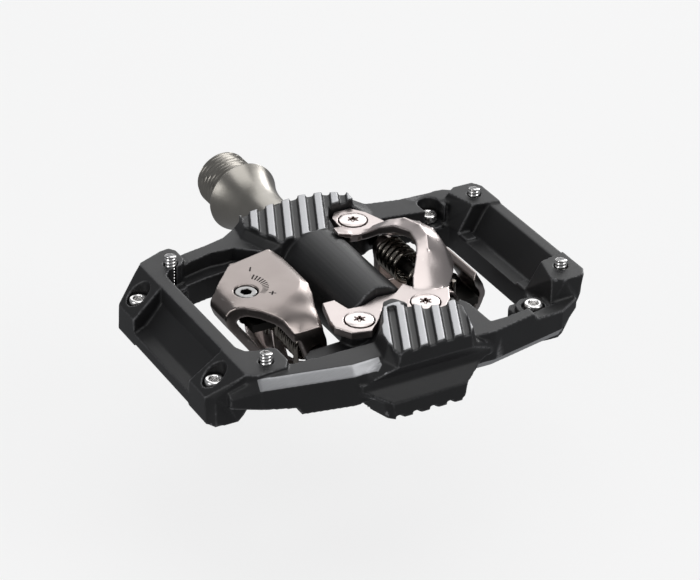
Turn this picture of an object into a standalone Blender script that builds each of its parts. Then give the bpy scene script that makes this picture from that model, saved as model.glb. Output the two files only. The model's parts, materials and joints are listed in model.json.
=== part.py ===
"""Two-sided clipless trail pedal.

The spindle axis is Y: the crank shoulder of the spindle is at the origin and the body lies towards -Y.
X runs along the length of the platform and Z is up. The pedal is the same on both sides: half a turn
about the spindle maps it onto itself, so the body and every fitting is built once and turned over.
Lengths below are millimetres, which the mesh helpers scale to metres.
"""

import math

import bmesh
import bpy
from mathutils import Matrix, Vector

MM = 0.001
GAP = 0.3  # clearance between pieces that touch
OVERLAP = 0.6  # how far the two halves of the body reach into each other

# Driving dimensions
PLATFORM_HALF = 50.2  # half the platform's length along X
CENTRE_Y = -56.5  # middle of the binding, along the spindle
DECK = 6.4  # height of the end pads over the spindle axis
BOSS_FOOT = -6.9
RAIL_TOP = 5.4
RIB_TOP = 9.2
RIB_PITCH = 4.46  # along X
RIB_LEAN = math.radians(25)  # from the spindle
GROOVE_HALF = 0.97
GROOVE_DEPTH = 0.9
THREAD_R = 7.14  # 9/16 inch crank thread
THREAD_LENGTH = 12.0
BARREL_R = 9.25
BORE_R = 8.0
BORE_END = -68.0
PIVOT_X, PIVOT_Z = -17.5, -2.0  # axis of the top rear binding, which the half turn mirrors
PIVOT_R = 1.8
PIVOT_ENDS = (-29.5, -83.0)
SCREW_PLACES = ((12.7, -34.6), (-8.8, -76.3), (8.8, -76.3))
PIN_R = 1.45
PIN_TIP = 8.95
PIN_HEAD_R = 2.25
PIN_HEAD_TOP = 2.1
PIN_HEAD_HEIGHT = 1.8
# pins whose tips stand up on the top side; their heads are on the bottom side
PINS = {
    "left_inner": (-35.6, -32.3),
    "left_outer": (-35.6, -81.3),
    "right_inner": (46.1, -36.6),
    "right_outer": (46.1, -76.4),
}
TENSION_XY = (-27.9, CENTRE_Y)
TENSION_HEAD_R = 2.6
CLAW_TOP = 9.5
HOOK_HALF = 3.9  # half the width of the rear claw's hooked back
HALF_TURN = Matrix.Rotation(math.pi, 4, "Y")
SOLVER = "MANIFOLD"  # many of the body's faces meet flush, which the exact solver leaves open


# ---------------------------------------------------------------- mesh helpers

def new_object(name, mesh):
    obj = bpy.data.objects.new(name, mesh)
    bpy.context.scene.collection.objects.link(obj)
    return obj


def from_faces(name, points, faces):
    """A closed mesh from millimetre points, its faces turned outwards."""
    mesh = bpy.data.meshes.new(name)
    shape = bmesh.new()
    verts = [shape.verts.new(Vector(p) * MM) for p in points]
    for face in faces:
        shape.faces.new([verts[i] for i in face])
    bmesh.ops.recalc_face_normals(shape, faces=shape.faces)
    shape.to_mesh(mesh)
    shape.free()
    return new_object(name, mesh)


def loft(sections, name="helper"):
    """Skin a closed body through rings of equal length, capped at both ends."""
    count = len(sections[0])
    points = [p for ring in sections for p in ring]
    faces = [list(range(count)), [len(points) - 1 - i for i in range(count)]]
    for s in range(len(sections) - 1):
        for i in range(count):
            a, b = s * count + i, s * count + (i + 1) % count
            faces.append([a, b, b + count, a + count])
    return from_faces(name, points, faces)


def prism(outline, low, high, name="helper"):
    """An XY outline extruded along Z."""
    return loft([[(x, y, z) for x, y in outline] for z in (low, high)], name)


def side_prism(outline, near, far, name="helper"):
    """An XZ outline extruded along Y."""
    return loft([[(x, y, z) for x, z in outline] for y in (near, far)], name)


def block(x, y, z):
    return prism([(x[0], y[0]), (x[1], y[0]), (x[1], y[1]), (x[0], y[1])], *z)


def ring_points(radius, sides, turn=0.0):
    return [
        (radius * math.cos(turn + math.tau * i / sides), radius * math.sin(turn + math.tau * i / sides))
        for i in range(sides)
    ]


def rod(x, y, radius, low, high, sides=20, name="helper"):
    """An upright round bar."""
    return prism([(x + a, y + b) for a, b in ring_points(radius, sides)], low, high, name)


def turned(profile, x=0.0, z=0.0, sides=40, name="helper"):
    """Closed (radius, y) profile turned about a line along Y."""
    rings = []
    for radius, y in profile:
        rings.append([(x + a * radius, y, z + b * radius) for a, b in ring_points(1, sides)])
    return loft(rings, name)


def hollow_turned(profile, x=0.0, z=0.0, sides=28, name="helper"):
    """A ring: the closed (radius, y) profile joins back to its start."""
    points = [
        (x + a * radius, y, z + b * radius)
        for radius, y in profile
        for a, b in ring_points(1, sides)
    ]
    rows = len(profile)
    faces = []
    for row in range(rows):
        after = (row + 1) % rows
        for i in range(sides):
            j = (i + 1) % sides
            faces.append([row * sides + i, row * sides + j, after * sides + j, after * sides + i])
    return from_faces(name, points, faces)


def hexagon(x, y, across, low, high):
    corner = across / 2 / math.cos(math.pi / 6)
    return prism([(x + a, y + b) for a, b in ring_points(corner, 6)], low, high)


def combine(base, others, operation="UNION"):
    """Boolean the others into the base, keep the result as plain mesh and drop the others."""
    for other in others:
        step = base.modifiers.new(operation.title(), "BOOLEAN")
        step.operation = operation
        step.solver = SOLVER
        step.object = other
    bpy.context.view_layer.update()
    graph = bpy.context.evaluated_depsgraph_get()
    mesh = bpy.data.meshes.new_from_object(base.evaluated_get(graph))
    base.modifiers.clear()
    base.data = mesh
    for other in others:
        bpy.data.objects.remove(other)
    return base


def cut(base, *others):
    return combine(base, others, "DIFFERENCE")


def join(base, *others):
    return combine(base, others, "UNION")


def keep_inside(base, *others):
    return combine(base, others, "INTERSECT")


def turned_over(obj, name="helper"):
    """A copy of the object after half a turn about the spindle."""
    copy = new_object(name, obj.data.copy())
    copy.data.transform(HALF_TURN)
    return copy


def finish(obj, name, material, smooth=35):
    obj.name = name
    obj.data.name = name
    obj.data.materials.clear()
    obj.data.materials.append(material)
    obj.data.shade_smooth()
    obj.data.set_sharp_from_angle(angle=math.radians(smooth))
    return obj


def set_origin(obj, point):
    """Move an object's origin without moving its shape."""
    place = Vector(point) * MM
    obj.data.transform(Matrix.Translation(-place))
    obj.location = place
    return obj


def material(name, colour, metallic, roughness):
    made = bpy.data.materials.new(name)
    made.use_nodes = True
    shader = made.node_tree.nodes["Principled BSDF"]
    shader.inputs["Base Color"].default_value = (*colour, 1)
    shader.inputs["Metallic"].default_value = metallic
    shader.inputs["Roughness"].default_value = roughness
    return made


# ---------------------------------------------------------------- platform body

def rail(stations):
    """A platform rail, given as (x, inner foot y, inner y, edge y, foot y, top z, edge z, bottom z)."""
    rings = []
    for x, inner_foot, inner, edge, foot, top, shoulder, bottom in stations:
        rings.append([
            (x, inner_foot, bottom), (x, inner, top), (x, edge, top), (x, foot, shoulder), (x, foot, bottom),
        ])
    return loft(rings)


def end_section():
    """Left end: inner strip high, web slanting down and outwards, outer wall low."""
    strip_in, strip_out, web_top = -39.0, -42.3, -47.0
    outline = [
        (strip_in, DECK), (strip_out, DECK), (strip_out - 0.3, 2.2), (web_top, -2.6),
        (-PLATFORM_HALF, -3.6), (-PLATFORM_HALF, -DECK), (-47.2, -DECK), (-42.9, 0.9), (strip_in, 0.9),
    ]
    return side_prism(outline, -38.0, -75.0)


def corner_boss(side_y, outward):
    """Block round the low pin head at a left corner; outward is +1 at the inboard corner, -1 outboard."""
    def y(offset):
        return side_y + outward * offset
    # each ring runs from the outer face round the corner to the recess in the web
    knee = [(-50.2, y(3.1), 0.0), (-48.4, y(5.0), 0.0), (-44.0, y(7.0), 0.0), (-39.0, y(7.0), 0.0),
            (-39.0, y(-4.2), 0.0), (-50.2, y(-5.0), 0.0)]
    top = [(-42.3, y(8.1), DECK), (-41.9, y(8.2), DECK), (-41.0, y(8.3), DECK), (-39.0, y(7.6), DECK),
           (-39.0, y(-3.0), DECK), (-42.3, y(-4.0), DECK)]
    foot = [(-50.2, y(3.6), BOSS_FOOT), (-48.8, y(6.0), BOSS_FOOT), (-43.4, y(6.3), BOSS_FOOT),
            (-40.8, y(4.2), BOSS_FOOT), (-43.0, y(-4.0), BOSS_FOOT), (-50.2, y(-5.4), BOSS_FOOT)]
    return loft([foot, knee, top])


def left_half_body():
    """Everything on the left of the spindle, with the ribbed pads of the top side."""
    inner_rail = rail([
        (-47.5, -35.0, -36.0, -33.0, -32.0, 1.0, 0.0, -5.2),
        (-42.0, -33.6, -35.5, -29.0, -28.0, 3.0, 2.0, -5.2),
        (-30.5, -30.4, -32.2, -28.0, -27.2, RAIL_TOP, 4.0, -4.8),
        (-24.0, -29.4, -30.6, -26.8, -25.8, RAIL_TOP, 4.0, -4.8),
        (-18.2, -29.0, -31.0, -25.3, -24.4, RAIL_TOP, 4.0, -4.8),
        (-12.3, -36.0, -36.0, -21.4, -20.6, RAIL_TOP, 4.0, -4.8),
        (-6.0, -36.0, -36.0, -19.8, -19.0, RAIL_TOP, 4.0, -4.8),
    ])
    inner_shelf = prism(
        [(-33.0, -29.4), (-33.0, -35.6), (-27.0, -34.4), (-21.5, -33.6), (-14.0, -38.4), (-8.0, -38.4),
         (-8.0, -28.0), (-20.0, -28.0)],
        -4.8, 1.2,
    )
    outer_rail = rail([
        (-46.0, -80.0, -78.0, -83.2, -84.2, 1.5, 0.5, -2.0),
        (-40.0, -83.6, -79.0, -86.0, -87.6, RAIL_TOP, 3.0, -2.0),
        (-31.6, -86.4, -83.4, -87.6, -89.3, RAIL_TOP, 3.0, -3.0),
        (-30.6, -86.6, -83.4, -87.8, -89.5, RAIL_TOP, 3.0, -4.8),
        (-24.6, -87.4, -83.7, -89.0, -90.7, RAIL_TOP, 3.0, -4.8),
        (-18.5, -87.6, -84.0, -90.2, -91.9, RAIL_TOP, 3.0, -4.8),
        (-11.0, -84.0, -84.0, -90.0, -91.5, RAIL_TOP, 3.0, -4.8),
        (-4.0, -84.0, -84.0, -88.5, -90.0, RAIL_TOP, 3.0, -4.8),
    ])
    shelf_foot = [(-19.8, -88.0), (-19.6, -78.4), (-18.6, -75.8), (-4.0, -74.5), (-4.0, -88.0)]
    shelf_top = [(-24.4, -88.0), (-24.0, -77.4), (-21.5, -75.6), (-4.0, -74.5), (-4.0, -88.0)]
    outer_shelf = loft([[(x, y, -4.8) for x, y in shelf_foot], [(x, y, 2.0) for x, y in shelf_top]])
    pad_inner = prism(
        [(-42.0, -28.6), (-35.0, -25.6), (-32.8, -25.4), (-31.7, -27.0), (-31.7, -31.4), (-33.2, -33.6),
         (-37.0, -34.6), (-38.9, -37.0), (-39.2, -45.0), (-42.2, -45.0)],
        0.2, DECK,
    )
    pad_inner_post = rod(-35.6, -32.3, 4.4, -4.8, 1.0)
    pad_outer = prism(
        [(-42.2, -68.0), (-39.2, -68.0), (-39.0, -72.6), (-37.8, -75.2), (-35.4, -76.2), (-32.0, -76.4),
         (-30.9, -77.6), (-30.9, -83.0), (-32.6, -85.6), (-40.0, -86.0), (-42.2, -84.6)],
        0.2, DECK,
    )
    pad_outer_post = rod(-35.6, -81.3, 4.2, -1.2, 1.0)
    parts = [
        end_section(),
        corner_boss(-37.2, 1),
        corner_boss(-76.4, -1),
        inner_rail, inner_shelf, outer_rail, outer_shelf,
        pad_inner, pad_inner_post, pad_outer, pad_outer_post,
    ]
    return join(parts[0], *parts[1:])


def inboard_pad():
    """Raised pad of the top side over the inboard bearing."""
    outline = [
        (-12.6, -22.9), (-13.4, -27.4), (-11.0, -34.0), (-8.9, -38.3), (3.8, -38.5), (6.9, -32.2),
        (9.6, -29.6), (13.6, -29.6), (16.2, -28.2), (16.6, -24.6), (10.6, -21.6), (5.3, -20.6), (-4.2, -21.6),
    ]
    foot = [
        (-14.0, -21.6), (-15.6, -28.0), (-13.0, -36.0), (-9.6, -38.5), (7.0, -38.5), (12.0, -38.4),
        (17.0, -36.0), (20.0, -33.0), (21.8, -30.0), (22.0, -24.6), (12.6, -19.6), (5.3, -18.8), (-6.2, -19.2),
    ]
    return loft([
        [(x, y, -OVERLAP) for x, y in foot],
        [(x, y, 4.2) for x, y in foot],
        [(x, y, 7.4) for x, y in outline],
        [(x, y, RIB_TOP) for x, y in outline],
    ])


def outboard_pad():
    """Raised pad of the top side at the outboard end, its outer face undercut towards the waist."""
    top = [
        (-3.0, -76.6), (-6.3, -82.7), (-8.4, -84.8), (-9.6, -91.0), (-8.7, -95.4), (9.6, -95.4),
        (11.0, -94.0), (14.4, -83.4), (13.2, -80.8), (4.0, -78.6),
    ]
    waist = [
        (-9.0, -74.6), (-14.0, -80.0), (-24.4, -86.8), (-22.0, -89.6), (-15.0, -92.7), (17.0, -92.7),
        (20.0, -90.6), (18.0, -84.0), (17.0, -80.8), (10.0, -74.6),
    ]
    shoulder = [
        (-4.6, -75.6), (-7.8, -82.0), (-9.8, -85.0), (-11.0, -91.0), (-9.4, -95.4), (10.4, -95.4),
        (12.0, -94.0), (15.4, -83.6), (14.4, -80.8), (6.0, -77.4),
    ]
    return loft([
        [(x, y, -OVERLAP) for x, y in waist],
        [(x, y, 1.0) for x, y in waist],
        [(x, y, 4.7) for x, y in shoulder],
        [(x, y, RIB_TOP) for x, y in top],
    ])


def rib_grooves(count, start, centre_y, length):
    """Slots that leave the grip ribs standing, the first at x = start on the line y = centre_y."""
    lean = Vector((-math.sin(RIB_LEAN), -math.cos(RIB_LEAN)))
    across = Vector((math.cos(RIB_LEAN), -math.sin(RIB_LEAN)))
    slots = []
    for i in range(count):
        middle = Vector((start + i * RIB_PITCH, centre_y))
        a = middle - lean * length / 2
        b = middle + lean * length / 2
        half = across * GROOVE_HALF
        outline = [tuple(a - half), tuple(a + half), tuple(b + half), tuple(b - half)]
        slots.append(prism(outline, RIB_TOP - GROOVE_DEPTH, RIB_TOP + 2))
    return slots


def pedal_body(finish_material):
    half = left_half_body()
    half = join(half, inboard_pad(), outboard_pad())
    screw_posts = [rod(x, y, 4.3, -OVERLAP, 4.6) for x, y in SCREW_PLACES]
    half = join(half, *screw_posts)
    half = cut(half, *rib_grooves(7, -13.9, -29.5, 26), *rib_grooves(6, -10.0, -87.0, 24))
    over = turned_over(half)
    # the barrel is slimmer under the pads, so that their grooves run right across it
    slim = RIB_TOP - GROOVE_DEPTH - 0.1
    barrel = turned(
        [(7.0, -21.2), (slim, -21.2), (slim, -38.1), (BARREL_R, -38.1), (BARREL_R, -77.3), (slim, -77.3),
         (slim, -90.0), (7.0, -90.0)],
        sides=48,
    )
    whole = join(half, over, barrel)
    # beds that the front binding's plate lies in, either side of the barrel
    outer_bed = prism(
        [(-20.0, -64.5), (-8.4, -64.5), (-8.2, -70.0), (-5.2, -70.4), (0.0, -68.5), (4.6, -68.9), (8.2, -65.6),
         (8.4, -62.0), (20.0, -62.0), (20.0, -73.0), (14.9, -81.0), (8.8, -81.6), (5.0, -79.8), (2.9, -76.2),
         (0.9, -74.2), (-1.7, -74.6), (-4.0, -78.4), (-8.2, -82.1), (-13.3, -81.0), (-16.0, -76.7), (-20.0, -73.0)],
        4.6, 20,
    )
    inner_bed = prism(
        [(7.7, -31.2), (9.5, -28.2), (15.4, -28.2), (18.4, -32.2), (24.0, -38.0), (24.0, -40.0), (7.7, -40.0)],
        4.6, 20,
    )
    bore = turned([(BORE_R, -10.0), (BORE_R, BORE_END + 3), (4.5, BORE_END)], sides=40)
    pivot = turned([(PIVOT_R + GAP, PIVOT_ENDS[0] + GAP), (PIVOT_R + GAP, PIVOT_ENDS[1] - GAP)],
                   x=PIVOT_X, z=PIVOT_Z, sides=16)
    holes = [outer_bed, inner_bed, pivot]
    for x, y in PINS.values():
        holes.append(rod(x, y, PIN_R + GAP, -20, 20, 14))
        holes.append(rod(x, y, PIN_HEAD_R + 0.55, -20, PIN_HEAD_HEIGHT - PIN_HEAD_TOP + GAP))
    x, y = PINS["left_inner"]
    holes.append(block((x - 2.8, x + 2.8), (y - 12.0, y), (-20.0, 0.0)))
    for x, y in SCREW_PLACES:
        holes.append(rod(x, y, 2.2 + GAP, 0.2, 20, 16))
    turned_holes = [turned_over(hole) for hole in holes]
    whole = cut(whole, bore, *holes, *turned_holes)
    return finish(whole, "pedal_body", finish_material, 25)


# ---------------------------------------------------------------- front binding

def front_binding(metal):
    """Front claw: a plate screwed down either side of the barrel, and an arch over the springs."""
    low, high = 4.9, 7.0
    outer_plate = prism(
        [(-12.8, -65.8), (-9.6, -65.7), (-8.6, -70.6), (-5.2, -71.0), (0.0, -69.0), (4.6, -69.4), (8.4, -66.4),
         (9.6, -68.6), (13.0, -72.4), (17.4, -72.6), (14.8, -77.4), (12.4, -80.0), (8.8, -80.9), (5.6, -79.2),
         (3.4, -75.8), (1.0, -73.6), (-1.4, -74.0), (-4.4, -78.0), (-8.4, -81.6), (-13.0, -80.4),
         (-15.4, -76.4), (-15.0, -73.4)],
        low, high,
    )
    inner_plate = prism(
        [(8.6, -31.3), (10.5, -28.9), (15.0, -28.9), (17.5, -32.2), (19.4, -38.0), (19.0, -40.6), (13.0, -40.6),
         (10.7, -41.4), (8.4, -40.8), (8.2, -36.2)],
        low, high,
    )
    # tab that steps up over the barrel
    tab = loft([
        [(9.2, -35.8, 5.6), (9.2, -35.8, high), (9.2, -40.6, high), (9.2, -40.6, 5.6)],
        [(4.4, -39.6, 8.7), (4.4, -39.6, 9.7), (4.0, -43.0, 9.7), (4.0, -43.0, 8.8)],
    ])
    stations = [
        # y, mouth x, mouth z, crown x, crown z, outer x, outer z, thickness
        (-39.6, 10.2, 5.6, 13.0, 6.6, 18.2, 5.2, 1.5),
        (-42.5, 11.8, 7.6, 14.4, 9.4, 20.6, 5.6, 1.9),
        (-46.5, 13.0, 10.8, 15.8, 12.4, 23.4, 6.4, 2.2),
        (-51.0, 14.4, 13.2, 17.4, 14.8, 25.0, 7.0, 2.3),
        (-56.0, 16.0, 13.8, 18.6, 15.2, 25.6, 7.2, 2.3),
        (-60.0, 15.4, 13.2, 18.4, 14.4, 25.4, 7.0, 2.3),
        (-63.6, 13.4, 11.8, 16.8, 12.8, 24.2, 6.8, 2.2),
        (-67.4, 10.4, 8.8, 14.6, 9.8, 21.8, 6.4, 1.9),
        (-70.6, 8.6, 6.8, 13.2, 7.8, 19.0, 5.8, 1.7),
        (-73.4, 8.4, 5.8, 12.6, 6.4, 16.8, 5.4, 1.2),
    ]
    rings = []
    for y, mouth_x, mouth_z, crown_x, crown_z, out_x, out_z, t in stations:
        side_x = (crown_x + out_x) / 2 + 0.6
        side_z = crown_z * 0.72 + out_z * 0.28
        rings.append([
            (mouth_x, y, mouth_z), (crown_x, y, crown_z), (side_x, y, side_z), (out_x, y, out_z),
            (out_x - t, y, out_z - 0.3), (side_x - 0.8 * t, y, side_z - 0.8 * t),
            (crown_x, y, crown_z - 1.1 * t), (mouth_x + 0.5, y, mouth_z - t),
        ])
    arch = loft(rings)
    claw = join(outer_plate, inner_plate, tab, arch)
    recesses = []
    for x, y in SCREW_PLACES:
        recesses.append(rod(x, y, 2.2 + GAP, 0, 20))
        cone = [
            [(x + a, y + b, z) for a, b in ring_points(radius, 24)]
            for radius, z in ((2.2 + GAP, 5.2), (3.35 + GAP, 6.4), (3.35 + GAP, 9.0))
        ]
        recesses.append(loft(cone))
    return finish(cut(claw, *recesses), "front_binding_top", metal, 30)


def binding_screw(x, y, name, metal):
    """Countersunk binding screw with a splined socket."""
    rings = [
        [(x + a * r, y + b * r, z) for a, b in ring_points(1, 18)]
        for r, z in ((2.2, 0.6), (2.2, 5.1), (3.35, 6.5), (3.35, 6.9), (2.9, 7.2), (2.0, 7.35))
    ]
    screw = loft(rings)
    socket = loft([
        [(x + a * r, y + b * r, z) for a, b in ring_points(1, 6)]
        for r, z in ((1.1, 5.4), (1.1, 9.0))
    ])
    return finish(cut(screw, socket), name, metal)


# ---------------------------------------------------------------- rear binding

def rear_binding(metal):
    """Rear claw of the top side: lip towards the spindle, dial plate, hooked back and two pivot legs."""
    wall = 2.4
    back_x = -35.4
    roll = 3.9  # outer radius of the bend into the hook

    def section(offset, plateau_x, lip_x, lip_z, roof):
        y = CENTRE_Y + offset
        bend = [(back_x + roll * (1 - math.sin(a)), roof - roll * (1 - math.cos(a)))
                for a in map(math.radians, (0, 25, 50, 72, 90))]
        outer = [(lip_x, lip_z - 1.9), (lip_x, lip_z), (lip_x - 1.2, lip_z + 0.9), (plateau_x, roof),
                 *bend, (back_x + 1.0, 3.0), (-29.9, -3.3)]
        inner = [(-28.3, -2.1), (-30.0, 0.9), (back_x + 3.2, 3.6), (back_x + wall, roof - 4.2),
                 (back_x + 3.2, roof - wall - 0.6), (-30.8, roof - wall - 0.1),
                 (plateau_x - 0.6, roof - wall - 0.1), (lip_x - 2.6, lip_z - 1.9)]
        return [(x, y, z) for x, z in outer + inner]

    # the near side of the plateau slopes down to the lip, the far side stays flat
    shell = loft([
        section(-15.6, -23.4, -15.8, 4.3, 4.9),
        section(-12.6, -27.0, -15.2, 5.5, 8.4),
        section(-9.0, -24.2, -14.4, 6.2, 9.4),
        section(-5.0, -17.0, -13.0, 7.3, CLAW_TOP),
        section(-1.5, -14.4, -12.2, 8.1, CLAW_TOP),
        section(5.0, -13.9, -12.2, 8.3, CLAW_TOP),
        section(11.0, -14.0, -12.2, 8.3, CLAW_TOP),
        section(15.6, -14.4, -12.8, 8.3, CLAW_TOP - 0.2),
    ])
    plan = [(-8.0, 16.4), (-13.6, 15.7), (-26.0, 12.8), (-29.4, 9.0), (-34.0, 4.2), (-39.0, HOOK_HALF),
            (-39.0, -HOOK_HALF), (-34.6, -4.4), (-31.4, -6.6), (-28.4, -9.8), (-25.4, -12.9), (-22.8, -16.8),
            (-8.0, -17.0)]
    outline = [(x, CENTRE_Y + y) for x, y in plan]
    shell = keep_inside(shell, prism(outline, -20, 20))
    boss = [(PIVOT_X + a, PIVOT_Z + b) for a, b in ring_points(3.0, 14, math.pi)][:8]
    legs = []
    for side, crest in (
        (-1, [(-14.8, 1.0), (-15.8, 3.9), (-17.0, 4.5), (-23.6, 4.5), (-21.8, 1.8)]),
        (1, [(-15.0, 1.0), (-15.3, 6.7), (-16.6, 7.8), (-22.5, 7.9), (-24.8, 7.9), (-23.0, 2.4)]),
    ):
        near, far = CENTRE_Y + side * 13.2, CENTRE_Y + side * 15.6
        legs.append(side_prism([*boss, *crest], near, far))
    claw = join(shell, *legs)
    x, y = TENSION_XY
    claw = cut(
        claw,
        turned([(PIVOT_R + GAP, -35.0), (PIVOT_R + GAP, -80.0)], x=PIVOT_X, z=PIVOT_Z, sides=16),
        rod(x, y, 1.6 + GAP, 0, 20),
        rod(x, y, TENSION_HEAD_R + GAP, CLAW_TOP - 1.5, 20, 24),
    )
    claw = finish(claw, "rear_binding_top", metal, 30)
    return set_origin(claw, (PIVOT_X, CENTRE_Y, PIVOT_Z))


def pivot_pin(steel):
    a, b = PIVOT_ENDS
    pin = turned(
        [(PIVOT_R - 0.4, a), (PIVOT_R, a - 0.5), (PIVOT_R, b + 0.5), (PIVOT_R - 0.4, b)],
        x=PIVOT_X, z=PIVOT_Z, sides=16,
    )
    return finish(pin, "pivot_pin_top", steel)


def torsion_spring(name, start, end, hand, steel):
    """Coil round the pivot pin, its free end reaching back to the tension plate."""
    wire, radius, turns, steps = 0.7, 3.55, 5, 12
    points = []
    total = turns * steps
    for i in range(total + 1):
        angle = hand * math.tau * i / steps + math.pi
        y = start + (end - start) * i / total
        points.append((PIVOT_X + radius * math.cos(angle), y, PIVOT_Z + radius * math.sin(angle)))
    lead_in = (points[0][0], points[0][1], points[0][2] + hand * 3.4)
    lead_out = (points[-1][0], points[-1][1], points[-1][2] - hand * 3.4)
    points = [lead_in, *points, lead_out]
    curve = bpy.data.curves.new(name, "CURVE")
    curve.dimensions = "3D"
    curve.bevel_depth = wire * MM
    curve.bevel_resolution = 0
    curve.use_fill_caps = True
    spline = curve.splines.new("POLY")
    spline.points.add(len(points) - 1)
    for place, point in zip(spline.points, points):
        place.co = (*(Vector(point) * MM), 1)
    guide = new_object("guide", curve)
    bpy.context.view_layer.update()
    graph = bpy.context.evaluated_depsgraph_get()
    mesh = bpy.data.meshes.new_from_object(guide.evaluated_get(graph))
    bpy.data.objects.remove(guide)
    return finish(new_object(name, mesh), name, steel, 60)


def tension_screw(steel):
    x, y = TENSION_XY
    top = CLAW_TOP - 0.2
    rings = [
        [(x + a * r, y + b * r, z) for a, b in ring_points(1, 20)]
        for r, z in ((1.6, 1.2), (1.6, top - 1.2), (TENSION_HEAD_R, top - 1.2), (TENSION_HEAD_R, top - 0.2),
                     (TENSION_HEAD_R - 0.2, top))
    ]
    screw = cut(loft(rings), hexagon(x, y, 2.5, top - 1.0, top + 2))
    return set_origin(finish(screw, "tension_screw_top", steel), (x, y, 0))


def tension_plate(steel):
    """Nut plate that the tension screw draws up against the spring ends."""
    x, y = TENSION_XY
    plate = block((x - 2.6, x + 3.4), (y - 8.6, y + 8.6), (3.4, 5.4))
    nut = rod(x, y, 2.4, 2.6, 3.9, 20)
    bore = rod(x, y, 1.6 + GAP, -5, 20)
    return finish(cut(join(plate, nut), bore), "tension_plate_top", steel)


# ---------------------------------------------------------------- pins, spindle and bearings

def traction_pin(name, x, y, steel):
    """Pin of the top side: hex head on the bottom side, threaded tip above the deck."""
    under = -PIN_HEAD_TOP
    rings = [
        [(x + a * r, y + b * r, z) for a, b in ring_points(1, 16)]
        for r, z in (
            (PIN_HEAD_R - 0.25, under), (PIN_HEAD_R, under + 0.3), (PIN_HEAD_R, under + PIN_HEAD_HEIGHT),
            (PIN_R, under + PIN_HEAD_HEIGHT), (PIN_R, PIN_TIP - 0.3), (PIN_R - 0.3, PIN_TIP),
        )
    ]
    return finish(cut(loft(rings), hexagon(x, y, 2.0, under - 1, under + 1.2)), name, steel)


def spindle(steel):
    profile = [(THREAD_R - 1.0, THREAD_LENGTH), (THREAD_R, THREAD_LENGTH - 1.0), (THREAD_R, 0.8),
               (THREAD_R - 0.7, 0.0), (8.9, 0.0), (9.3, -0.6)]
    # shoulder falling in a hollow curve to the neck
    steps = 9
    for i in range(1, steps + 1):
        t = i / steps
        profile.append((6.3 + 3.0 * (1 - t) ** 2.2, -0.6 - 13.4 * t))
    profile += [
        (6.3, -24.0), (5.6, -24.4), (5.6, -31.0), (3.9, -33.0), (3.9, -38.0), (4.9, -40.0), (4.9, -49.0),
        (3.6, -50.0), (3.6, -51.0), (2.6, -51.4), (2.6, -64.6), (2.2, -65.0),
    ]
    shaft = turned(profile, sides=32)
    corner = 4.0 / math.cos(math.pi / 6)
    socket = loft([[(a, y, b) for a, b in ring_points(corner, 6)] for y in (4.0, 14.0)])
    return finish(cut(shaft, socket), "spindle", steel, 25)


def ball_ring(name, y, pitch_radius, ball_radius, count, steel):
    """Bearing balls held in their retainer."""
    width = ball_radius * 0.35
    ring = hollow_turned([
        (pitch_radius - width, y + width), (pitch_radius + width, y + width),
        (pitch_radius + width, y - width), (pitch_radius - width, y - width),
    ], sides=24)
    balls = []
    for i in range(count):
        angle = math.tau * i / count
        mesh = bpy.data.meshes.new("ball")
        shape = bmesh.new()
        bmesh.ops.create_icosphere(shape, subdivisions=1, radius=ball_radius * MM)
        centre = Vector((pitch_radius * math.cos(angle), y, pitch_radius * math.sin(angle))) * MM
        bmesh.ops.translate(shape, verts=shape.verts, vec=centre)
        shape.to_mesh(mesh)
        shape.free()
        balls.append(new_object("ball", mesh))
    return finish(join(ring, *balls), name, steel, 60)


def bearings(steel, rubber, alloy):
    """Fittings inside the barrel, from the crank end outwards."""
    finish(hollow_turned([(6.7, -19.8), (7.6, -19.8), (7.6, -21.6), (6.7, -21.6)]), "seal_ring", rubber)
    finish(hollow_turned([(6.7, -22.0), (7.6, -22.0), (7.6, -31.2), (6.7, -31.2)]), "lock_sleeve", alloy)
    for place, y in (("inboard", -35.4), ("outboard", -54.0)):
        cup = [
            (7.7, y + 2.6), (7.0, y + 2.6), (7.1, y + 1.4), (7.1, y - 1.4), (7.0, y - 2.6), (7.7, y - 2.6),
        ]
        finish(hollow_turned(cup), f"{place}_bearing_cup", steel)
        ball_ring(f"{place}_ball_ring", y, 5.5, 1.2, 10, steel)
    cone = [(2.9, -51.6), (3.9, -51.6), (3.9, -56.6), (5.2, -57.6), (5.2, -59.6), (2.9, -59.6)]
    finish(hollow_turned(cone), "adjusting_cone", steel)
    corner = 5.0 / math.cos(math.pi / 6)
    nut = loft([[(a, y, b) for a, b in ring_points(corner, 6)] for y in (-60.0, -63.4)])
    finish(cut(nut, turned([(2.9, -55.0), (2.9, -70.0)], sides=20)), "lock_nut", steel)


# ---------------------------------------------------------------- assembly

def add_turned_over(obj):
    """The same piece on the bottom side, under the bottom side's name."""
    name = obj.name.replace("_top", "_bottom")
    copy = new_object(name, obj.data.copy())
    copy.data.transform(Matrix.Translation(obj.location))
    copy.data.transform(HALF_TURN)
    return set_origin(copy, tuple(HALF_TURN @ obj.location / MM))


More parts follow.
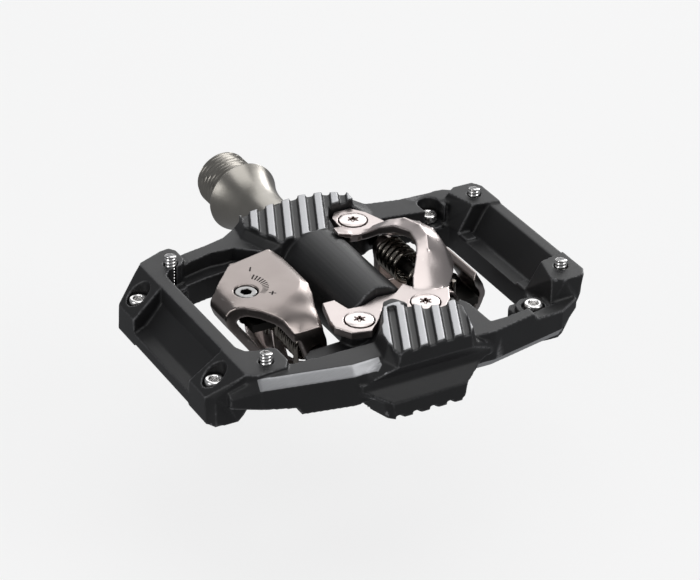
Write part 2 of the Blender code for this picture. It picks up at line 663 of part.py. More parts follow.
def main():
    for obj in list(bpy.data.objects):
        bpy.data.objects.remove(obj)
    black = material("black_anodised", (0.02, 0.02, 0.022), 0.6, 0.42)
    claw_steel = material("claw_steel", (0.36, 0.32, 0.30), 1.0, 0.34)
    plate_steel = material("plate_steel", (0.60, 0.54, 0.53), 1.0, 0.3)
    bright = material("bright_steel", (0.75, 0.73, 0.71), 1.0, 0.22)
    satin = material("spindle_steel", (0.42, 0.40, 0.37), 1.0, 0.28)
    spring = material("spring_steel", (0.20, 0.19, 0.18), 1.0, 0.2)
    rubber = material("seal_rubber", (0.02, 0.02, 0.02), 0.0, 0.7)

    pedal_body(black)
    pieces = [front_binding(plate_steel), rear_binding(claw_steel), pivot_pin(satin),
              tension_screw(bright), tension_plate(satin)]
    middle = CENTRE_Y
    pieces.append(torsion_spring("inner_torsion_spring_top", middle + 12.0, middle + 2.6, 1, spring))
    pieces.append(torsion_spring("outer_torsion_spring_top", middle - 12.0, middle - 2.6, -1, spring))
    for number, (x, y) in enumerate(SCREW_PLACES, 1):
        pieces.append(binding_screw(x, y, f"binding_screw_top_{number}", bright))
    for place, (x, y) in PINS.items():
        pieces.append(traction_pin(f"pin_top_{place}", x, y, bright))
    for piece in pieces:
        add_turned_over(piece)
    spindle(satin)
    bearings(satin, rubber, satin)


main()
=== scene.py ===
"""Finished looks for the two-sided clipless trail pedal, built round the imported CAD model.

Lengths are in millimetres in the frame's axes, and become metres where a mesh or an object is made.
"""
import json
import math
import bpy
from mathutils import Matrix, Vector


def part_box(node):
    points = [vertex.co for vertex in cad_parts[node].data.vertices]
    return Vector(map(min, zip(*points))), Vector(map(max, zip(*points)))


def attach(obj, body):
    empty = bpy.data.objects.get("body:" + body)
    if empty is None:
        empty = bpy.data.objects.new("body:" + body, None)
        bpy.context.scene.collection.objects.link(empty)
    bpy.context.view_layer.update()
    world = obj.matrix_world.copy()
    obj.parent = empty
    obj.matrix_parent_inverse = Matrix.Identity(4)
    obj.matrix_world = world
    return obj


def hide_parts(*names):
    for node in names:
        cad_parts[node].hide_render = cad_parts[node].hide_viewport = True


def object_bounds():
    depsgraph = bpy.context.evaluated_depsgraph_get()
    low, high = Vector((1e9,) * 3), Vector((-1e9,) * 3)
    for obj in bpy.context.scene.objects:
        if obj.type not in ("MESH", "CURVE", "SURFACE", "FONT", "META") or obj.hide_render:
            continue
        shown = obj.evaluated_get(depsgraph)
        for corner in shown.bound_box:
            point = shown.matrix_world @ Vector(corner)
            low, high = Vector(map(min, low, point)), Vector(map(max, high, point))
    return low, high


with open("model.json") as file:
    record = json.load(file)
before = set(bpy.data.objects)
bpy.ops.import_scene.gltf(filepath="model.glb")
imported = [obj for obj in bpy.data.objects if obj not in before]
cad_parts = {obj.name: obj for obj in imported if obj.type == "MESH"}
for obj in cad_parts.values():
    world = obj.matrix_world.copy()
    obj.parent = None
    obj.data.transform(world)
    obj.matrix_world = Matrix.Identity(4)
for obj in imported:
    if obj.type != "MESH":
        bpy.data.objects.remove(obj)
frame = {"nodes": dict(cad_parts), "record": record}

from types import SimpleNamespace

import bmesh
import bpy
import numpy as np
from mathutils import Matrix, Vector

MM = 0.001
HALF_TURN = Matrix.Rotation(math.pi, 4, "Y")
BODY_OF = {node: body for body, nodes in frame["record"]["behaviour"]["bodies"].items() for node in nodes}
CAD_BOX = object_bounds()


def corners(node):
    """Lowest and highest corner of a CAD node."""
    low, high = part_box(node)
    return [v / MM for v in low], [v / MM for v in high]


def middle(node):
    low, high = corners(node)
    return [(a + b) / 2 for a, b in zip(low, high)]


# bright machined faces of the body: the rib tops of the grip pads, and a long chamfer on the outboard edge
RIB_TOP = 9.2
INBOARD_PAD_EDGE = -38.3
OUTBOARD_PAD_EDGE = -76.4
CHAMFER_X = (-40.2, -11.5)
CHAMFER_Z = (3.0, 5.42)
CHAMFER_OUTBOARD_OF = 80.0

# binding screws: their splined recess is painted dark between these two depths under the head, as painted shade
# with some brownish dirt
BINDING_SCREW_TOP = corners("binding_screw_top_1")[1][2]
DARK_FROM, DARK_TO = 0.22, 1.6

# tension dial
DIAL_TICKS = 48
DIAL_REACH = (4.3, 5.9)
DIAL_ARC = (-0.72, 0.95)
DIAL_FLARE = 0.34
DIAL_PLATEAU = 7.5

SHARP_BEVEL = math.radians(40)
BEVEL_SEGMENTS = 3


# ---------------------------------------------------------------- material nodes

class Graph:
    """Short names for the nodes of one material."""

    def __init__(self, name):
        self.material = bpy.data.materials.new(name)
        self.material.use_nodes = True
        self.tree = self.material.node_tree
        self.shader = self.tree.nodes["Principled BSDF"]
        coords = self.tree.nodes.new("ShaderNodeTexCoord")
        self.place = self.vector("SCALE", coords.outputs["Object"], 1 / MM)
        self.facing = coords.outputs["Normal"]

    def put(self, socket, value):
        if hasattr(value, "is_linked"):
            self.tree.links.new(value, socket)
        elif value is not None:
            socket.default_value = value

    def vector(self, operation, a, b):
        """Vector maths; b is a number for SCALE and a vector otherwise."""
        node = self.tree.nodes.new("ShaderNodeVectorMath")
        node.operation = operation
        self.put(node.inputs[0], a)
        self.put(node.inputs["Scale" if operation == "SCALE" else 1], b)
        return node.outputs["Vector"]

    def math(self, operation, a, b=None):
        node = self.tree.nodes.new("ShaderNodeMath")
        node.operation = operation
        self.put(node.inputs[0], a)
        self.put(node.inputs[1], b)
        return node.outputs[0]

    def axes(self, vector):
        node = self.tree.nodes.new("ShaderNodeSeparateXYZ")
        self.put(node.inputs[0], vector)
        return node.outputs[0], node.outputs[1], node.outputs[2]

    def step(self, value, edge, soft):
        """0 below the edge, 1 above it."""
        node = self.tree.nodes.new("ShaderNodeMapRange")
        node.interpolation_type = "SMOOTHSTEP"
        self.put(node.inputs["Value"], value)
        node.inputs["From Min"].default_value = edge - soft
        node.inputs["From Max"].default_value = edge + soft
        return node.outputs["Result"]

    def less(self, value, edge, soft):
        """1 below the edge, 0 above it."""
        return self.math("SUBTRACT", 1.0, self.step(value, edge, soft))

    def between(self, value, low, high, soft):
        return self.times(self.step(value, low, soft), self.less(value, high, soft))

    def times(self, *values):
        result = values[0]
        for value in values[1:]:
            result = self.math("MULTIPLY", result, value)
        return result

    def either(self, *values):
        result = values[0]
        for value in values[1:]:
            result = self.math("MAXIMUM", result, value)
        return result

    def reach(self, dx, dy):
        return self.math("SQRT", self.math("ADD", self.times(dx, dx), self.times(dy, dy)))

    def noise(self, scale, detail=3.0, stretch=None):
        """Noise with features of about 1/scale millimetres."""
        place = self.place if stretch is None else self.vector("MULTIPLY", self.place, stretch)
        node = self.tree.nodes.new("ShaderNodeTexNoise")
        self.put(node.inputs["Vector"], place)
        node.inputs["Scale"].default_value = scale
        node.inputs["Detail"].default_value = detail
        return node.outputs["Fac"]

    def mix(self, factor, a, b):
        """Colour a where factor is 0 and b where it is 1."""
        node = self.tree.nodes.new("ShaderNodeMix")
        node.data_type = "RGBA"
        self.put(node.inputs["Factor"], factor)
        self.put(node.inputs["A"], a)
        self.put(node.inputs["B"], b)
        return node.outputs["Result"]

    def blend(self, factor, a, b):
        """Number a where factor is 0 and b where it is 1."""
        node = self.tree.nodes.new("ShaderNodeMix")
        self.put(node.inputs["Factor"], factor)
        self.put(node.inputs["A"], a)
        self.put(node.inputs["B"], b)
        return node.outputs["Result"]

    def sharp_edge_mask(self, low, high):
        """1 on sharp outer edges, from the curvature of the mesh."""
        geometry = self.tree.nodes.new("ShaderNodeNewGeometry")
        return self.step(geometry.outputs["Pointiness"], (low + high) / 2, (high - low) / 2)

    def bump(self, height, depth, previous=None):
        node = self.tree.nodes.new("ShaderNodeBump")
        node.inputs["Strength"].default_value = 1.0
        node.inputs["Distance"].default_value = depth * MM
        self.put(node.inputs["Height"], height)
        self.put(node.inputs["Normal"], previous)
        return node.outputs["Normal"]

    def set(self, **values):
        for name, value in values.items():
            self.put(self.shader.inputs[name.replace("_", " ")], value)
        return self.material


def rgb(r, g, b):
    return (r, g, b, 1.0)


def top_side(g):
    """Place and normal as on the top side: the half turn maps the bottom side onto it."""
    x, y, z = g.axes(g.place)
    _, ny, nz = g.axes(g.facing)
    side = g.math("SIGN", z)
    return SimpleNamespace(x=g.times(x, side), y=y, z=g.times(z, side), ny=ny, nz=g.times(nz, side))


# ---------------------------------------------------------------- materials

def anodised_black():
    """Matte black anodising with lighter edges, partly wear and partly a painted highlight along the edges, cut
    away on the rib tops and the outboard chamfer.
    """
    g = Graph("anodised_black")
    at = top_side(g)
    grain = g.noise(5.5, 4.0)
    cloud = g.noise(0.12)
    patches = g.noise(1.6, 2.0)
    milling = g.noise(1.0, 2.0, (0.35, 9.0, 1.0))
    on_pads = g.either(g.step(at.y, INBOARD_PAD_EDGE, 0.05), g.less(at.y, OUTBOARD_PAD_EDGE, 0.05))
    rib_top = g.times(g.step(at.z, RIB_TOP - 0.12, 0.05), g.step(at.nz, 0.90, 0.06), on_pads)
    outboard = g.math("MULTIPLY", at.y, -1.0)
    faces_outboard = g.math("MULTIPLY", at.ny, -1.0)
    chamfer = g.times(
        g.between(at.x, *CHAMFER_X, 0.12), g.between(at.z, *CHAMFER_Z, 0.10), g.between(at.nz, 0.30, 0.86, 0.08),
        g.step(faces_outboard, 0.4, 0.1), g.step(outboard, CHAMFER_OUTBOARD_OF, 0.5),
    )
    bare = g.either(rib_top, chamfer)
    # lighter edges on the black: partly wear, partly a painted highlight along the sharp edges
    wear_and_edge_highlight = g.times(g.sharp_edge_mask(0.505, 0.56), g.step(patches, 0.42, 0.16))
    black = g.mix(cloud, rgb(0.0075, 0.0075, 0.0080), rgb(0.0120, 0.0120, 0.0128))
    black = g.mix(g.times(wear_and_edge_highlight, 0.8), black, rgb(0.125, 0.125, 0.130))
    silver = g.mix(milling, rgb(0.36, 0.362, 0.372), rgb(0.47, 0.473, 0.485))
    roughness = g.blend(bare, g.blend(grain, 0.40, 0.52), g.blend(milling, 0.42, 0.50))
    relief = g.bump(milling, 0.004, g.bump(grain, 0.010))
    return g.set(
        Base_Color=g.mix(bare, black, silver), Metallic=g.blend(bare, 0.0, 0.85), Roughness=roughness,
        Specular_IOR_Level=0.40, Normal=relief,
    )


def satin_plating(name, dark, light, marks=None):
    """Satin plated pressing: slight clouding, fine tumbling marks and brighter worn edges."""
    g = Graph(name)
    speckle = g.noise(6.0)
    tumbling = g.noise(1.0, 3.0, (0.5, 7.0, 2.0))
    colour = g.mix(g.noise(0.10), dark, light)
    colour = g.mix(g.times(g.sharp_edge_mask(0.54, 0.66), 0.3), colour, rgb(0.70, 0.66, 0.63))
    roughness = g.blend(speckle, 0.25, 0.36)
    relief = g.bump(g.math("ADD", speckle, tumbling), 0.0035)
    if marks:
        engraved = marks(g)
        colour = g.mix(engraved, colour, rgb(0.035, 0.03, 0.03))
        roughness = g.blend(engraved, roughness, 0.65)
        relief = g.bump(g.math("SUBTRACT", 1.0, engraved), 0.12, relief)
    return g.set(Base_Color=colour, Metallic=1.0, Roughness=roughness, Normal=relief)


def dial_marks(g):
    """Tension dial: a fan of fine ticks round the screw, a minus at one end and a plus at the other."""
    at = top_side(g)
    centre_x, centre_y, _ = middle("tension_screw_top")
    dx = g.math("SUBTRACT", at.x, centre_x)
    dy = g.math("SUBTRACT", at.y, centre_y)
    turn = g.math("ARCTAN2", dy, dx)
    teeth = g.math("FRACT", g.math("MULTIPLY", turn, DIAL_TICKS / math.tau))
    # the fan opens out towards the minus
    flare = g.math("ADD", g.math("MULTIPLY", turn, DIAL_FLARE), 1.0)
    spread = g.math("DIVIDE", g.reach(dx, dy), flare)
    ticks = g.times(
        g.between(teeth, 0.30, 0.70, 0.08), g.between(spread, *DIAL_REACH, 0.05), g.between(turn, *DIAL_ARC, 0.02),
    )

    def stroke(angle, distance, half_length, half_width):
        """A short bar beside the dial, lying along its radius."""
        c, s = math.cos(angle), math.sin(angle)
        px = g.math("SUBTRACT", dx, distance * c)
        py = g.math("SUBTRACT", dy, distance * s)
        along = g.math("ADD", g.math("MULTIPLY", px, c), g.math("MULTIPLY", py, s))
        across = g.math("SUBTRACT", g.math("MULTIPLY", py, c), g.math("MULTIPLY", px, s))
        return g.times(
            g.between(along, -half_length, half_length, 0.04), g.between(across, -half_width, half_width, 0.04),
        )

    minus = stroke(1.00, 10.0, 1.0, 0.17)
    plus = g.either(stroke(-0.62, 6.2, 0.85, 0.17), stroke(-0.62, 6.2, 0.17, 0.85))
    return g.times(g.either(ticks, minus, plus), g.step(at.nz, 0.8, 0.05), g.step(at.z, DIAL_PLATEAU, 0.2))


def turned_metal(name, dark, light, roughness):
    """Lathe-turned metal: fine rings round the spindle's axis."""
    g = Graph(name)
    lines = g.noise(1.0, 3.0, (0.4, 8.0, 0.4))
    tone = g.math("MULTIPLY", g.math("ADD", lines, g.noise(0.2)), 0.5)
    rough = g.blend(lines, roughness - 0.05, roughness + 0.07)
    return g.set(Base_Color=g.mix(tone, dark, light), Metallic=1.0, Roughness=rough, Normal=g.bump(lines, 0.005))


def bright_zinc(name, light, socket=None):
    """Bright plating; a socket, given by its centre x and y, its radius and its rim's z, is painted dark as shade.
    """
    g = Graph(name)
    mottle = g.noise(2.2, 4.0)
    colour = g.mix(mottle, rgb(0.78 * light, 0.77 * light, 0.76 * light), rgb(light, 0.99 * light, 0.98 * light))
    roughness = g.blend(mottle, 0.20, 0.30)
    if socket:
        at = top_side(g)
        centre_x, centre_y, radius, rim = socket
        reach = g.reach(g.math("SUBTRACT", at.x, centre_x), g.math("SUBTRACT", at.y, centre_y))
        outside = g.either(g.step(reach, radius, 0.08), g.step(at.z, rim, 0.08))
        painted_socket_shade = g.math("SUBTRACT", 1.0, outside)
        # painted shade inside the socket, below its rim
        colour = g.mix(painted_socket_shade, colour, rgb(0.02, 0.018, 0.016))
        roughness = g.blend(painted_socket_shade, roughness, 0.6)
    return g.set(Base_Color=colour, Metallic=1.0, Roughness=roughness, Normal=g.bump(mottle, 0.006))


def nickel_screw():
    """Satin nickel head whose recess is painted dark brown: painted shade, with some brownish dirt."""
    g = Graph("nickel_screw")
    at = top_side(g)
    mottle = g.noise(3.0)
    colour = g.mix(mottle, rgb(0.70, 0.635, 0.62), rgb(0.84, 0.77, 0.75))
    recess = g.times(
        g.less(at.z, BINDING_SCREW_TOP - DARK_FROM, 0.06), g.step(at.z, BINDING_SCREW_TOP - DARK_TO, 0.1),
        g.less(at.nz, 0.2, 0.1),
    )
    # painted shade in the recess, with some brownish dirt
    colour = g.mix(recess, colour, rgb(0.05, 0.03, 0.02))
    roughness = g.blend(mottle, 0.26, 0.36)
    return g.set(Base_Color=colour, Metallic=1.0, Roughness=roughness, Normal=g.bump(mottle, 0.003))


def spring_wire():
    g = Graph("spring_wire")
    streak = g.noise(1.4)
    colour = g.mix(streak, rgb(0.11, 0.100, 0.088), rgb(0.38, 0.350, 0.310))
    roughness = g.blend(streak, 0.12, 0.24)
    return g.set(Base_Color=colour, Metallic=1.0, Roughness=roughness, Normal=g.bump(streak, 0.004))


def seal_rubber():
    g = Graph("seal_rubber")
    grain = g.noise(4.0)
    colour = g.mix(grain, rgb(0.012, 0.012, 0.012), rgb(0.028, 0.028, 0.028))
    return g.set(Base_Color=colour, Metallic=0.0, Roughness=g.blend(grain, 0.6, 0.75), Normal=g.bump(grain, 0.02))


# ---------------------------------------------------------------- mesh helpers

def new_object(name, data):
    obj = bpy.data.objects.new(name, data)
    bpy.context.scene.collection.objects.link(obj)
    return obj


def skin(name, rings):
    """A closed surface through rings of equal length, with a flat cap on each end."""
    count = len(rings[0])
    points = [tuple(c * MM for c in p) for ring in rings for p in ring]
    faces = []
    for row in range(len(rings) - 1):
        for i in range(count):
            a, b = row * count + i, row * count + (i + 1) % count
            faces.append((a, b, b + count, a + count))
    faces.append(tuple(reversed(range(count))))
    faces.append(tuple(range(len(points) - count, len(points))))
    mesh = bpy.data.meshes.new(name)
    mesh.from_pydata(points, [], faces)
    shape = bmesh.new()
    shape.from_mesh(mesh)
    bmesh.ops.recalc_face_normals(shape, faces=shape.faces)
    shape.to_mesh(mesh)
    shape.free()
    return new_object(name, mesh)


def apply_modifiers(obj):
    bpy.context.view_layer.update()
    graph = bpy.context.evaluated_depsgraph_get()
    mesh = bpy.data.meshes.new_from_object(obj.evaluated_get(graph))
    obj.modifiers.clear()
    obj.data = mesh


def paint(obj, material):
    obj.data.materials.clear()
    obj.data.materials.append(material)


def dress(obj, material, node, sharp=None):
    """Give a finished piece its material, and let it stand for its CAD node on that node's body."""
    paint(obj, material)
    obj.data.shade_smooth()
    if sharp:
        obj.data.set_sharp_from_angle(angle=math.radians(sharp))
    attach(obj, BODY_OF[node])
    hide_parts(node)


def dress_both(obj, material, node, sharp):
    """Finish a top-side piece and its half-turned twin on the bottom side."""
    twin = node.replace("_top", "_bottom")
    copy = new_object(twin + "_fine", obj.data.copy())
    copy.data.transform(HALF_TURN)
    dress(obj, material, node, sharp)
    dress(copy, material, twin, sharp)


def fair(obj, passes, up):
    """Even out broad facets of the outer side, and hold the vertices where the surface turns sharply."""
    crease = 0.006
    widening = 5
    mesh = obj.data
    count = len(mesh.vertices)
    points = np.empty(count * 3, dtype=np.float32)
    mesh.vertices.foreach_get("co", points)
    points = points.reshape(-1, 3).astype(float)
    normals = np.empty(count * 3, dtype=np.float32)
    mesh.vertices.foreach_get("normal", normals)
    normals = normals.reshape(-1, 3)
    ends = np.empty(len(mesh.edges) * 2, dtype=np.int32)
    mesh.edges.foreach_get("vertices", ends)
    a, b = ends.reshape(-1, 2).T

    def gathered(values_a, values_b):
        """Per vertex, the sum over its edges of the value given for that edge."""
        return np.bincount(a, values_a, count) + np.bincount(b, values_b, count)

    neighbours = np.bincount(a, minlength=count) + np.bincount(b, minlength=count)
    bend = 1 - (normals[a] * normals[b]).sum(axis=1)
    sharpness = gathered(bend, bend) / neighbours
    for _ in range(widening):
        sharpness = 0.5 * (sharpness + gathered(sharpness[b], sharpness[a]) / neighbours)
    outside = np.clip(up * normals[:, 2] * 4 + 0.5, 0, 1)
    freedom = (outside * np.clip(1 - sharpness / crease, 0, 1))[:, None]
    for _ in range(passes):
        total = np.empty_like(points)
        for axis in range(3):
            total[:, axis] = gathered(points[b, axis], points[a, axis])
        points += 0.5 * freedom * (total / neighbours[:, None] - points)
    mesh.vertices.foreach_set("co", points.astype(np.float32).ravel())
    mesh.update()


def refined(node, material, voxel, passes, keep, fairing=0):
    """A CAD solid remade as a fine mesh with rounded edges."""
    mesh = frame["nodes"][node].data.copy()
    shape = bmesh.new()
    shape.from_mesh(mesh)
    bmesh.ops.remove_doubles(shape, verts=shape.verts, dist=1e-6)
    shape.to_mesh(mesh)
    shape.free()
    obj = new_object(node + "_fine", mesh)
    remesh = obj.modifiers.new("Fine", "REMESH")
    remesh.mode = "VOXEL"
    remesh.voxel_size = voxel * MM
    smooth = obj.modifiers.new("Rounded", "SMOOTH")
    smooth.factor = 0.5
    smooth.iterations = passes
    apply_modifiers(obj)
    if fairing:
        fair(obj, fairing, -1 if node.endswith("bottom") else 1)
    fewer = obj.modifiers.new("Fewer", "DECIMATE")
    fewer.ratio = keep
    apply_modifiers(obj)
    dress(obj, material, node)


def bevelled(node, material, width):
    """A CAD node whose shape is right: rounded edges and its own finish."""
    obj = frame["nodes"][node]
    paint(obj, material)
    edge = obj.modifiers.new("Edges", "BEVEL")
    edge.width = width * MM
    edge.segments = BEVEL_SEGMENTS
    edge.limit_method = "ANGLE"
    edge.angle_limit = SHARP_BEVEL
    edge.use_clamp_overlap = True


# ---------------------------------------------------------------- outlines

def outline(sides, radius_at):
    """Points round an axis, at the radius that a function gives for each angle."""
    angles = [math.tau * i / sides for i in range(sides)]
    return [(radius_at(angle) * math.cos(angle), radius_at(angle) * math.sin(angle)) for angle in angles]


def circle(radius, sides):
    return outline(sides, lambda angle: radius)


def hexagon(flat, sides):
    """A hexagon across its flats, sampled at the same angles as a circle."""
    sixth = math.pi / 3
    return outline(sides, lambda angle: flat / 2 / math.cos((angle + sixth / 2) % sixth - sixth / 2))


def splined(radius, depth, lobes, sides):
    """A lobed outline for a splined screw recess."""
    return outline(sides, lambda angle: radius + depth * math.tanh(2.2 * math.cos(lobes * angle)))


def scaled(points, factor):
    return [(x * factor, y * factor) for x, y in points]


def rotated(points, angle):
    c, s = math.cos(angle), math.sin(angle)
    return [(x * c - y * s, x * s + y * c) for x, y in points]


def thread_radius(outer, depth, along, turn, pitch):
    """Radius on a 60 degree thread, with narrow flats on its crest and root."""
    phase = (along / pitch - turn / math.tau) % 1.0
    slope = min(max(abs(phase - 0.5) * 2.6 - 0.15, 0.0), 1.0)
    return outer - depth * slope


class UprightTurning:
    """Rings piled up along an upright axis through the middle of a CAD node."""

    def __init__(self, node, sides):
        self.node = node
        self.sides = sides
        low, high = corners(node)
        self.x, self.y, _ = middle(node)
        self.low, self.high = low[2], high[2]
        self.radius = (high[0] - low[0]) / 2
        self.rings = []

    def ring(self, points, z):
        self.rings.append([(self.x + a, self.y + b, z) for a, b in points])

    def circle(self, radius, z):
        self.ring(circle(radius, self.sides), z)

    def rounded_edge(self, radius, inward, z, height):
        """A quarter-round from a flat face at z out to the radius, at z + height."""
        steps = 4
        for i in range(steps + 1):
            bend = math.pi / 2 * i / steps
            self.circle(radius - inward + inward * math.sin(bend), z + height * (1 - math.cos(bend)))

    def slanted(self, points, highest):
        """A ring whose height follows a slanted cut."""
        turns = [math.tau * i / self.sides for i in range(self.sides)]
        self.rings.append([(self.x + a, self.y + b, highest(turn)) for (a, b), turn in zip(points, turns)])

    def thread(self, outer, depth, pitch, start, end, rows, highest=None):
        """A cut thread, stopped at each angle by a slanted cut if one is given."""
        for row in range(rows + 1):
            z = start + (end - start) * row / rows
            points = outline(self.sides, lambda turn: thread_radius(outer, depth, z, turn, pitch))
            self.slanted(points, lambda turn: min(z, highest(turn)) if highest else z)

    def finish(self, material, sharp):
        dress_both(skin(self.node + "_fine", self.rings), material, self.node, sharp)


# ---------------------------------------------------------------- pieces

def spindle(material):
    """Turned spindle with a cut thread, hex socket and hollow-curved shoulder."""
    low, high = corners("spindle")
    crank_end, far_end = high[1], low[1]
    outer, pitch, depth, sides = 7.14, 1.27, 0.62, 96
    socket_flats, socket_floor = 8.0, 4.0
    rings = []

    def lie(points, y):
        rings.append([(a, y, b) for a, b in points])

    def ring(radius, y):
        lie(circle(radius, sides), y)

    socket = hexagon(socket_flats, sides)
    lie(socket, socket_floor)
    lie(socket, crank_end - 0.5)
    ring(4.95, crank_end)
    ring(5.9, crank_end)
    # the thread starts in a chamfer and runs out above the shoulder
    top, foot, rows = crank_end - 0.15, 0.9, 84
    for row in range(rows + 1):
        y = top + (foot - top) * row / rows
        chamfer = min(outer, 6.1 + (crank_end - y) * 1.1)
        lie(outline(sides, lambda turn: min(thread_radius(outer, depth, y, turn, pitch), chamfer)), y)
    for radius, y in ((6.45, 0.7), (6.45, 0.12), (6.6, 0.0), (8.8, 0.0), (9.15, -0.15), (9.28, -0.6)):
        ring(radius, y)
    # hollow curve from the shoulder down to the neck
    neck, flare, curve_start, curve_length, steps = 6.3, 3.0, -0.6, 13.4, 24
    for i in range(1, steps + 1):
        t = i / steps
        ring(neck + flare * (1 - t) ** 2.2, curve_start - curve_length * t)
    for radius, y in ((neck, -19.0), (neck, -24.0), (5.6, -24.4), (5.6, -31.0), (3.9, -33.0), (3.9, -38.0),
                      (4.9, -40.0), (4.9, -49.0), (3.6, -50.0), (3.6, -51.0), (2.6, -51.4), (2.6, -64.6),
                      (2.2, far_end)):
        ring(radius, y)
    dress(skin("spindle_fine", rings), material, "spindle", 32)


def threaded_pin(node, material):
    """Screwed-in traction pin: socket head below, thread above, its tip cut at a slant."""
    pin = UprightTurning(node, 36)
    under, tip, head = pin.low, pin.high, pin.radius
    shaft, depth, pitch = 1.45, 0.24, 0.85
    socket = hexagon(2.0, pin.sides)
    pin.ring(socket, under + 1.2)
    pin.ring(socket, under + 0.35)
    pin.circle(1.30, under + 0.05)
    pin.circle(1.55, under)
    pin.rounded_edge(head, 0.55, under, 0.5)
    pin.circle(head, under + 1.7)
    pin.circle(head - 0.1, under + 1.8)
    pin.circle(shaft - depth, under + 1.8)

    def slant(turn):
        return tip - 0.30 * (1 + math.cos(turn - 0.9))

    pin.thread(shaft, depth, pitch, under + 2.1, tip - 0.15, 96, lambda turn: slant(turn) - 0.12)
    pin.slanted(circle(1.15, pin.sides), slant)
    pin.finish(material, 40)


def binding_screw(node, material):
    """Flat countersunk head with a splined recess."""
    screw = UprightTurning(node, 72)
    low, top, head, shank = screw.low, screw.high, screw.radius, 2.2
    recess = splined(1.18, 0.27, 6, screw.sides)
    screw.circle(0.3, top - 1.5)
    screw.ring(scaled(recess, 0.8), top - 1.3)
    screw.ring(recess, top - 1.1)
    screw.ring(recess, top - 0.10)
    screw.ring(scaled(recess, 1.07), top - 0.03)
    screw.circle(1.6, top)
    # the face falls away slightly to its rim
    steps = 6
    for i in range(steps + 1):
        t = i / steps
        screw.circle(1.9 + (head - 1.95) * t, top - 0.22 * t ** 2.2)
    screw.circle(head, top - 0.36)
    screw.circle(head, top - 0.85)
    screw.circle(shank, low + 4.5)
    screw.circle(shank, low + 0.2)
    screw.circle(shank - 0.2, low)
    screw.finish(material, 35)


def tension_screw(node, material):
    """Round-headed dial screw with a hex socket."""
    screw = UprightTurning(node, 72)
    low, top, head = screw.low, screw.high, screw.radius
    shank, depth, pitch = 1.6, 0.25, 0.7
    socket = rotated(hexagon(2.5, screw.sides), 0.4)
    screw.ring(socket, top - 2.2)
    screw.ring(socket, top - 0.12)
    screw.ring(scaled(socket, 1.06), top - 0.03)
    screw.circle(1.6, top)
    screw.rounded_edge(head, 0.35, top, -0.3)
    screw.circle(head, top - 1.2)
    screw.circle(shank, top - 1.2)
    screw.thread(shank, depth, pitch, top - 1.4, low + 0.2, 70)
    screw.circle(1.2, low)
    screw.finish(material, 35)


def torsion_spring(node, hand, material):
    """Round wire wound close about the pivot pin, its legs straight up and down from the coil's ends."""
    axis_x, _, axis_z = middle("pivot_pin_top")
    near, far = corners(node)
    wire, radius, turns, steps, sides = 0.66, 3.55, 5, 40, 14
    leg, leg_steps = 3.3, (0.33, 0.66, 1.0)
    inset = 0.7
    start, end = near[1] + inset, far[1] - inset
    if hand > 0:
        start, end = end, start
    coil = []
    total = turns * steps
    for i in range(total + 1):
        angle = hand * math.tau * i / steps + math.pi
        y = start + (end - start) * i / total
        coil.append((axis_x + radius * math.cos(angle), y, axis_z + radius * math.sin(angle)))

    def straight(from_point, length):
        x, y, z = from_point
        return [(x, y, z + length * part) for part in leg_steps]

    route = [*reversed(straight(coil[0], hand * leg)), *coil, *straight(coil[-1], -hand * leg)]
    rings = []
    for i, point in enumerate(route):
        ahead = Vector(route[min(i + 1, len(route) - 1)])
        behind = Vector(route[max(i - 1, 0)])
        along = (ahead - behind).normalized()
        across = along.cross(Vector((0, 1, 0)))
        across = across.normalized() if across.length > 0.2 else Vector((1, 0, 0))
        over = along.cross(across).normalized()
        rings.append([tuple(Vector(point) + across * a + over * b) for a, b in circle(wire, sides)])
    dress_both(skin(node + "_fine", rings), material, node, 50)


# ---------------------------------------------------------------- stage

def camera():
    azimuth, elevation, roll = math.radians(-29.709), math.radians(30.659), math.radians(1.230)
    distance = 0.65905
    target = Vector((2.700, -51.444, -1.268)) * MM
    back = Vector((math.sin(azimuth) * math.cos(elevation), -math.cos(azimuth) * math.cos(elevation),
                   math.sin(elevation)))
    level = Vector((math.cos(azimuth), math.sin(azimuth), 0))
    upright = back.cross(level)
    right = level * math.cos(roll) + upright * math.sin(roll)
    up = upright * math.cos(roll) - level * math.sin(roll)
    data = bpy.data.cameras.new("camera")
    data.sensor_width = 36
    data.lens = 141.38
    data.clip_start = 0.01
    obj = new_object("camera", data)
    obj.matrix_world = Matrix((
        (right.x, up.x, back.x, 0), (right.y, up.y, back.y, 0), (right.z, up.z, back.z, 0), (0, 0, 0, 1),
    ))
    obj.location = target + back * distance
    bpy.context.scene.camera = obj


def softbox(name, place, aim, size, power):
    """A rectangular light; places and sizes in metres, power in watts."""
    light = bpy.data.lights.new(name, "AREA")
    light.shape = "RECTANGLE"
    light.size, light.size_y = size
    light.energy = power
    obj = new_object(name, light)
    obj.location = place
    obj.rotation_euler = (Vector(aim) - Vector(place)).to_track_quat("-Z", "Y").to_euler()


def pale_floor():
    material = bpy.data.materials.new("floor")
    material.use_nodes = True
    shader = material.node_tree.nodes["Principled BSDF"]
    shader.inputs["Base Color"].default_value = rgb(0.16, 0.16, 0.16)
    shader.inputs["Roughness"].default_value = 0.9
    shader.inputs["Specular IOR Level"].default_value = 0.0
    shader.inputs["Emission Color"].default_value = rgb(1, 1, 1)
    shader.inputs["Emission Strength"].default_value = 0.76
    # low enough for the platform to spin above it
    half, clearance = 3.0, 0.006
    level = CAD_BOX[0][0] - clearance
    outer = [(-half, -half, level), (half, -half, level), (half, half, level), (-half, half, level)]
    mesh = bpy.data.meshes.new("floor")
    mesh.from_pydata(outer, [], [(0, 1, 2, 3)])
    floor = new_object("floor", mesh)
    floor.data.materials.append(material)
    floor.visible_glossy = False


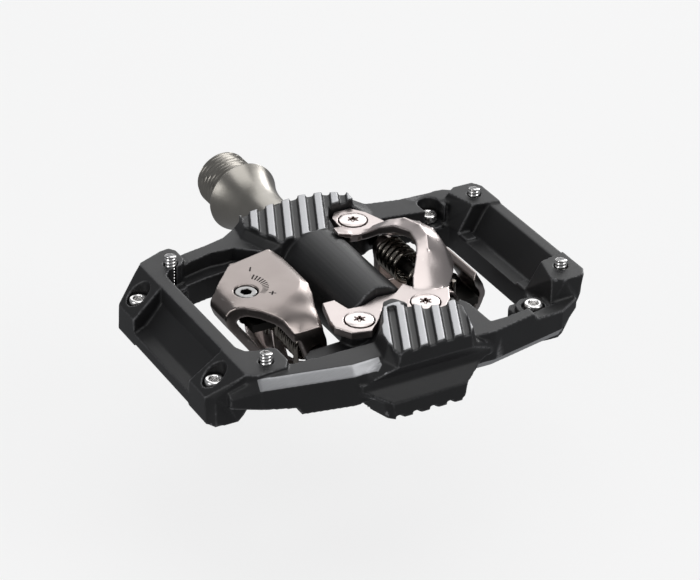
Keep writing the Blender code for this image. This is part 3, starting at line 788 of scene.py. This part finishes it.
def studio():
    world = bpy.data.worlds.new("studio")
    bpy.context.scene.world = world
    world.use_nodes = True
    background = world.node_tree.nodes["Background"]
    background.inputs["Color"].default_value = rgb(0.95, 0.97, 1.0)
    background.inputs["Strength"].default_value = 0.24
    aim = (0, (CAD_BOX[0][1] + CAD_BOX[1][1]) / 2, 0)
    softbox("back_wall", (0.54, 0.92, 0.64), aim, (1.5, 0.9), 6.2)
    softbox("overhead", (0.10, -0.02, 0.85), aim, (0.80, 0.70), 3.0)
    softbox("right_strip", (1.00, 0.66, 0.38), aim, (0.40, 0.34), 3.0)
    softbox("front_right", (0.50, -0.66, 0.60), aim, (0.50, 0.40), 2.6)
    softbox("left_fill", (-0.85, -0.10, 0.30), aim, (0.35, 0.5), 1.9)
    pale_floor()


# ---------------------------------------------------------------- build

bpy.context.scene.view_settings.view_transform = "Standard"
camera()
studio()

dial_x, dial_y, _ = middle("tension_screw_top")
dial_rim = corners("tension_screw_top")[1][2] - 0.15
dial_socket = 1.45

black = anodised_black()
claw = satin_plating("claw_plating", rgb(0.245, 0.212, 0.200), rgb(0.325, 0.286, 0.271), dial_marks)
plate = satin_plating("plate_plating", rgb(0.50, 0.445, 0.430), rgb(0.60, 0.54, 0.525))
satin = turned_metal("turned_steel", rgb(0.26, 0.245, 0.22), rgb(0.42, 0.40, 0.365), 0.30)
phosphated = turned_metal("phosphated_steel", rgb(0.025, 0.024, 0.022), rgb(0.06, 0.057, 0.053), 0.45)
sleeve = turned_metal("sleeve_alloy", rgb(0.05, 0.05, 0.055), rgb(0.09, 0.09, 0.095), 0.4)
zinc = bright_zinc("bright_zinc", 0.93)
dial_zinc = bright_zinc("dial_screw_zinc", 0.34, (dial_x, dial_y, dial_socket, dial_rim))
nickel = nickel_screw()
wire = spring_wire()
rubber = seal_rubber()

refined("pedal_body", black, voxel=0.30, passes=4, keep=0.32)
for side in ("top", "bottom"):
    refined(f"rear_binding_{side}", claw, voxel=0.22, passes=14, keep=0.6, fairing=220)
    refined(f"front_binding_{side}", plate, voxel=0.20, passes=12, keep=0.6, fairing=200)
    bevelled(f"pivot_pin_{side}", phosphated, 0.2)
    bevelled(f"tension_plate_{side}", phosphated, 0.5)

# the pieces from here to the springs are made on the top side, and dress_both adds the bottom side
spindle(satin)
for place in ("left_inner", "left_outer", "right_inner", "right_outer"):
    threaded_pin(f"pin_top_{place}", zinc)
for number in (1, 2, 3):
    binding_screw(f"binding_screw_top_{number}", nickel)
tension_screw("tension_screw_top", dial_zinc)
torsion_spring("inner_torsion_spring_top", 1, wire)
torsion_spring("outer_torsion_spring_top", -1, wire)

bevelled("seal_ring", rubber, 0.15)
bevelled("lock_sleeve", sleeve, 0.15)
for node in ("inboard_bearing_cup", "outboard_bearing_cup", "adjusting_cone", "lock_nut"):
    bevelled(node, satin, 0.15)
for node in ("inboard_ball_ring", "outboard_ball_ring"):
    paint(frame["nodes"][node], zinc)

bpy.context.view_layer.update()
